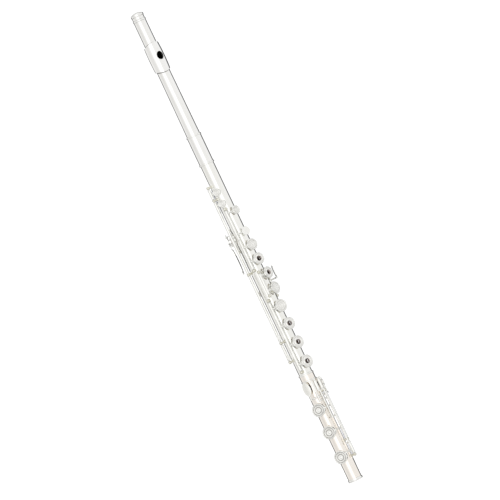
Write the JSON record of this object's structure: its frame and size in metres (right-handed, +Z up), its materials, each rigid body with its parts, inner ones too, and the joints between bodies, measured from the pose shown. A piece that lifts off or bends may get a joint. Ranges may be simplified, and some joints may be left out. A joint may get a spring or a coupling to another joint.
{
  "type": "concert flute",
  "caption": "Slim silver concert flute with lip plate, open-hole ring keys on long rods, offset G and a roller-lever foot joint.",
  "frame": {"origin": "centre of the bore at the open foot end", "axes": "+Z up the bore towards the crown, -Y out through the finger keys, whose main line stands 6 degrees from it towards -X, and -X the player's side where the main rod lies"},
  "size_m": [0.0483, 0.0406, 0.7125],
  "materials": {
    "silver_tube": "polished silver plate on the tubes",
    "silver_lip": "polished silver lip plate",
    "silver_trim": "polished silver rings and ribs",
    "silver_key": "polished silver keywork",
    "silver_post": "polished silver posts",
    "steel_rod": "turned hinge steel",
    "blued_spring": "blued needle spring",
    "pad_skin": "fish skin over felt",
    "cork": "natural cork"
  },
  "bodies": {
    "body_joint": {"body_tube": "silver_tube", "barrel": "silver_tube", "body_rings": "silver_trim", "main_rib": "silver_trim", "side_ribs": "silver_trim", "body_posts": "silver_post", "upper_steel": "steel_rod", "lower_steel": "steel_rod", "short_steels": "steel_rod", "body_springs": "blued_spring"},
    "head_joint": {"head_tube": "silver_tube", "lip_plate": "silver_lip", "riser": "silver_lip"},
    "crown_cap": {"crown": "silver_tube"},
    "stopper": {"stopper_rod": "steel_rod", "stopper_cork": "cork", "reflector_plate": "silver_trim"},
    "foot_joint": {"foot_tube": "silver_tube", "foot_socket": "silver_tube", "foot_rings": "silver_trim", "foot_rib": "silver_trim", "foot_posts": "silver_post", "foot_steel": "steel_rod", "foot_springs": "blued_spring"},
    "c_touch": {"c_key": "silver_key", "c_pad": "pad_skin"},
    "b_flat": {"b_flat_key": "silver_key", "b_flat_pad": "pad_skin"},
    "a_touch": {"a_key": "silver_key", "a_pad": "pad_skin"},
    "g_pair": {"g_key": "silver_key", "g_pad": "pad_skin"},
    "g_sharp": {"g_sharp_key": "silver_key", "g_sharp_pad": "pad_skin"},
    "f_sharp": {"f_sharp_key": "silver_key", "f_sharp_pad": "pad_skin"},
    "f_touch": {"f_key": "silver_key", "f_pad": "pad_skin"},
    "e_touch": {"e_key": "silver_key", "e_pad": "pad_skin"},
    "d_touch": {"d_key": "silver_key", "d_pad": "pad_skin"},
    "thumb_b": {"thumb_b_key": "silver_key", "thumb_b_pad": "pad_skin"},
    "thumb_b_flat": {"thumb_b_flat_lever": "silver_key"},
    "d_trill": {"d_trill_key": "silver_key", "d_trill_pad": "pad_skin"},
    "d_sharp_trill": {"d_sharp_trill_key": "silver_key", "d_sharp_trill_pad": "pad_skin", "trill_steel": "steel_rod"},
    "low_d_sharp": {"low_d_sharp_key": "silver_key", "low_d_sharp_pad": "pad_skin"},
    "low_c_sharp": {"low_c_sharp_key": "silver_key", "low_c_sharp_pad": "pad_skin"},
    "low_c": {"low_c_key": "silver_key", "low_c_pad": "pad_skin"},
    "low_b": {"low_b_key": "silver_key", "low_b_pad": "pad_skin"},
    "c_roller_barrel": {"c_roller": "silver_key"},
    "b_roller_barrel": {"b_roller": "silver_key"}
  },
  "joints": [
    {"name": "head_slide", "type": "slide", "parent": "body_joint", "child": "head_joint", "axis": [0, 0, 1], "range_m": [0, 0.04]},
    {"name": "crown_turn", "type": "hinge", "parent": "head_joint", "child": "crown_cap", "pos_m": [0, 0, 0.705], "axis": [0, 0, 1], "range_deg": [-720, 720]},
    {"name": "stopper_slide", "type": "slide", "parent": "head_joint", "child": "stopper", "axis": [0, 0, 1], "range_m": [-0.0016, 0.0016]},
    {"name": "foot_turn", "type": "hinge", "parent": "body_joint", "child": "foot_joint", "pos_m": [0, 0, 0.157], "axis": [0, 0, 1], "range_deg": [-15, 15]},
    {"name": "c_swing", "type": "hinge", "parent": "body_joint", "child": "c_touch", "pos_m": [-0.01402, -0.00898, 0.39], "axis": [0, 0, 1], "range_deg": [0, 6], "stiffness_Nm_per_rad": 0.01, "springref_deg": -20.05},
    {"name": "b_flat_swing", "type": "hinge", "parent": "body_joint", "child": "b_flat", "pos_m": [-0.01402, -0.00898, 0.357], "axis": [0, 0, 1], "range_deg": [0, 6], "stiffness_Nm_per_rad": 0.01, "springref_deg": -20.05},
    {"name": "a_swing", "type": "hinge", "parent": "body_joint", "child": "a_touch", "pos_m": [-0.01402, -0.00898, 0.335], "axis": [0, 0, 1], "range_deg": [0, 6], "stiffness_Nm_per_rad": 0.01, "springref_deg": -20.05},
    {"name": "g_swing", "type": "hinge", "parent": "body_joint", "child": "g_pair", "pos_m": [-0.01055, -0.01288, 0.299], "axis": [0, 0, 1], "range_deg": [0, 6], "stiffness_Nm_per_rad": 0.01, "springref_deg": -20.05},
    {"name": "g_sharp_swing", "type": "hinge", "parent": "body_joint", "child": "g_sharp", "pos_m": [0.01674, 0.00295, 0.29], "axis": [0, 0, 1], "range_deg": [-8, 0], "stiffness_Nm_per_rad": 0.01, "springref_deg": 20.05},
    {"name": "f_sharp_swing", "type": "hinge", "parent": "body_joint", "child": "f_sharp", "pos_m": [-0.01402, -0.00898, 0.262], "axis": [0, 0, 1], "range_deg": [0, 6], "stiffness_Nm_per_rad": 0.01, "springref_deg": -20.05},
    {"name": "f_swing", "type": "hinge", "parent": "body_joint", "child": "f_touch", "pos_m": [-0.01402, -0.00898, 0.236], "axis": [0, 0, 1], "range_deg": [0, 6], "stiffness_Nm_per_rad": 0.01, "springref_deg": -20.05},
    {"name": "e_swing", "type": "hinge", "parent": "body_joint", "child": "e_touch", "pos_m": [-0.01402, -0.00898, 0.207], "axis": [0, 0, 1], "range_deg": [0, 6], "stiffness_Nm_per_rad": 0.01, "springref_deg": -20.05},
    {"name": "d_swing", "type": "hinge", "parent": "body_joint", "child": "d_touch", "pos_m": [-0.01402, -0.00898, 0.18], "axis": [0, 0, 1], "range_deg": [0, 6], "stiffness_Nm_per_rad": 0.01, "springref_deg": -20.05},
    {"name": "thumb_b_swing", "type": "hinge", "parent": "body_joint", "child": "thumb_b", "pos_m": [0.00241, 0.01647, 0.365], "axis": [0, 0, 1], "range_deg": [0, 6], "stiffness_Nm_per_rad": 0.01, "springref_deg": -20.05},
    {"name": "thumb_b_flat_swing", "type": "hinge", "parent": "body_joint", "child": "thumb_b_flat", "pos_m": [0.00241, 0.01647, 0.379], "axis": [0, 0, 1], "range_deg": [0, 6], "stiffness_Nm_per_rad": 0.01, "springref_deg": -20.05},
    {"name": "d_trill_swing", "type": "hinge", "parent": "body_joint", "child": "d_trill", "pos_m": [-0.01656, 0.00116, 0.325], "axis": [0, 0, 1], "range_deg": [-12, 0], "stiffness_Nm_per_rad": 0.01, "springref_deg": 20.05},
    {"name": "d_sharp_trill_swing", "type": "hinge", "parent": "body_joint", "child": "d_sharp_trill", "pos_m": [-0.01656, 0.00116, 0.315], "axis": [0, 0, 1], "range_deg": [-12, 0], "stiffness_Nm_per_rad": 0.01, "springref_deg": 20.05},
    {"name": "low_d_sharp_swing", "type": "hinge", "parent": "foot_joint", "child": "low_d_sharp", "pos_m": [0.00455, -0.01586, 0.126], "axis": [0, 0, 1], "range_deg": [-8, 0], "stiffness_Nm_per_rad": 0.01, "springref_deg": 20.05},
    {"name": "low_c_sharp_swing", "type": "hinge", "parent": "foot_joint", "child": "low_c_sharp", "pos_m": [0.00455, -0.01586, 0.11], "axis": [0, 0, -1], "range_deg": [0, 5.5], "stiffness_Nm_per_rad": 0.01, "springref_deg": -20.05},
    {"name": "low_c_swing", "type": "hinge", "parent": "foot_joint", "child": "low_c", "pos_m": [0.00455, -0.01586, 0.078], "axis": [0, 0, -1], "range_deg": [0, 5.5], "stiffness_Nm_per_rad": 0.01, "springref_deg": -20.05},
    {"name": "low_b_swing", "type": "hinge", "parent": "foot_joint", "child": "low_b", "pos_m": [0.00455, -0.01586, 0.045], "axis": [0, 0, -1], "range_deg": [0, 5.5], "stiffness_Nm_per_rad": 0.01, "springref_deg": -20.05},
    {"name": "c_roller_spin", "type": "hinge", "parent": "low_c", "child": "c_roller_barrel", "pos_m": [-0.00638, -0.017, 0.142], "axis": [0, 0, 1], "continuous": true},
    {"name": "b_roller_spin", "type": "hinge", "parent": "low_b", "child": "b_roller_barrel", "pos_m": [-0.00007, -0.01865, 0.142], "axis": [0, 0, 1], "continuous": true}
  ],
  "couplings": [
    {"joint": "crown_turn", "follows": "stopper_slide", "rad_per_m": 7854},
    {"joint": "b_flat_swing", "follows": "a_swing", "ratio": 1},
    {"joint": "f_sharp_swing", "follows": "f_swing", "ratio": 1},
    {"joint": "thumb_b_swing", "follows": "thumb_b_flat_swing", "ratio": 1},
    {"joint": "low_c_sharp_swing", "follows": "low_c_swing", "ratio": 1}
  ]
}
